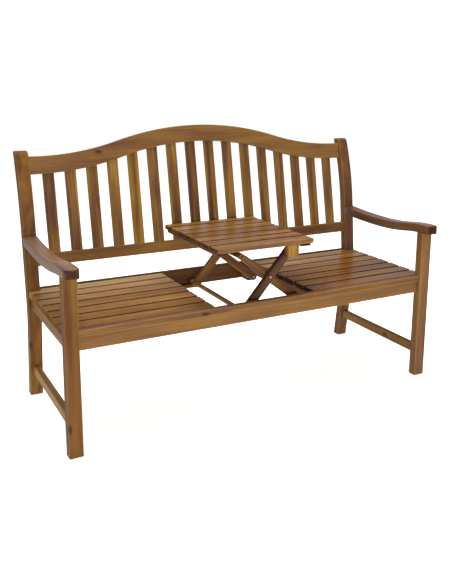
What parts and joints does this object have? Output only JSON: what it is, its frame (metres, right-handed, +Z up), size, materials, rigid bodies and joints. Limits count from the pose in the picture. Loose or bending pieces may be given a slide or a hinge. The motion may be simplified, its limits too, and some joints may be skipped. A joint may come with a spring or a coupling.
{
  "type": "companion seat bench",
  "caption": "Slatted garden bench with an arched back and two seats, and a slatted table between them that stands on a scissor and folds down flush with the seats.",
  "frame": {"origin": "on the ground, in the middle of the bench's length and depth", "axes": "+X along the bench, to the right as one faces it; +Y from the front to the back; +Z up"},
  "size_m": [1.504, 0.6756, 1.0177],
  "materials": {
    "steel": "zinc-plated carbon steel, dull",
    "seat_slats": "oiled acacia slats, planed and sanded",
    "back": "oiled acacia, sanded",
    "table": "oiled acacia slats, sanded",
    "scissor": "oiled acacia, sanded",
    "frame": "oiled acacia, sanded, eased edges"
  },
  "bodies": {
    "bench": {"arm_left": "frame", "arm_right": "frame", "back_slat_pair_1": "back", "back_slat_pair_2": "back", "back_slat_pair_3": "back", "back_slat_pair_4": "back", "back_slat_pair_5": "back", "back_slat_pair_6": "back", "back_slat_pair_7": "back", "back_slat_pair_8": "back", "crest_rail": "back", "foot_hinge_bolts": "steel", "foot_runners": "frame", "front_apron": "frame", "front_nosing": "frame", "front_post_left": "frame", "front_post_right": "frame", "hinge_blocks": "frame", "lower_back_rail": "back", "rear_post_left": "frame", "rear_post_right": "frame", "rear_rail": "frame", "seat_bearer_left": "frame", "seat_bearer_right": "frame", "seat_slat_left_1": "seat_slats", "seat_slat_left_2": "seat_slats", "seat_slat_left_3": "seat_slats", "seat_slat_left_4": "seat_slats", "seat_slat_left_5": "seat_slats", "seat_slat_left_6": "seat_slats", "seat_slat_left_7": "seat_slats", "seat_slat_right_1": "seat_slats", "seat_slat_right_2": "seat_slats", "seat_slat_right_3": "seat_slats", "seat_slat_right_4": "seat_slats", "seat_slat_right_5": "seat_slats", "seat_slat_right_6": "seat_slats", "seat_slat_right_7": "seat_slats", "side_rail_left": "frame", "side_rail_right": "frame", "side_stretcher_left": "frame", "side_stretcher_right": "frame"},
    "inner_legs": {"inner_leg_front": "scissor", "inner_leg_rear": "scissor", "cross_rail": "scissor", "crossing_bolts": "steel"},
    "outer_legs": {"outer_leg_front": "scissor", "outer_leg_rear": "scissor", "foot_bar": "scissor"},
    "table": {"table_battens": "table", "table_lugs": "table", "table_slat_1": "table", "table_slat_2": "table", "table_slat_3": "table", "table_slat_4": "table", "table_slat_5": "table", "table_slat_6": "table", "table_slat_7": "table", "bearing_strips": "table", "lug_pins": "steel"}
  },
  "joints": [
    {"name": "table_lift", "type": "hinge", "parent": "bench", "child": "inner_legs", "pos_m": [0.181, 0, 0.38], "axis": [0, -1, 0], "range_deg": [0, 37.74]},
    {"name": "scissor_crossing", "type": "hinge", "parent": "inner_legs", "child": "outer_legs", "pos_m": [0.03005, 0, 0.49751], "axis": [0, -1, 0], "range_deg": [-85.48, 0]},
    {"name": "table_hinge", "type": "hinge", "parent": "outer_legs", "child": "table", "pos_m": [0.10654, 0, 0.5855], "axis": [0, -1, 0], "range_deg": [0, 47.74]}
  ],
  "couplings": [
    {"joint": "scissor_crossing", "follows": "table_lift", "ratio": -2.2625},
    {"joint": "table_hinge", "follows": "table_lift", "ratio": 1.2625}
  ]
}
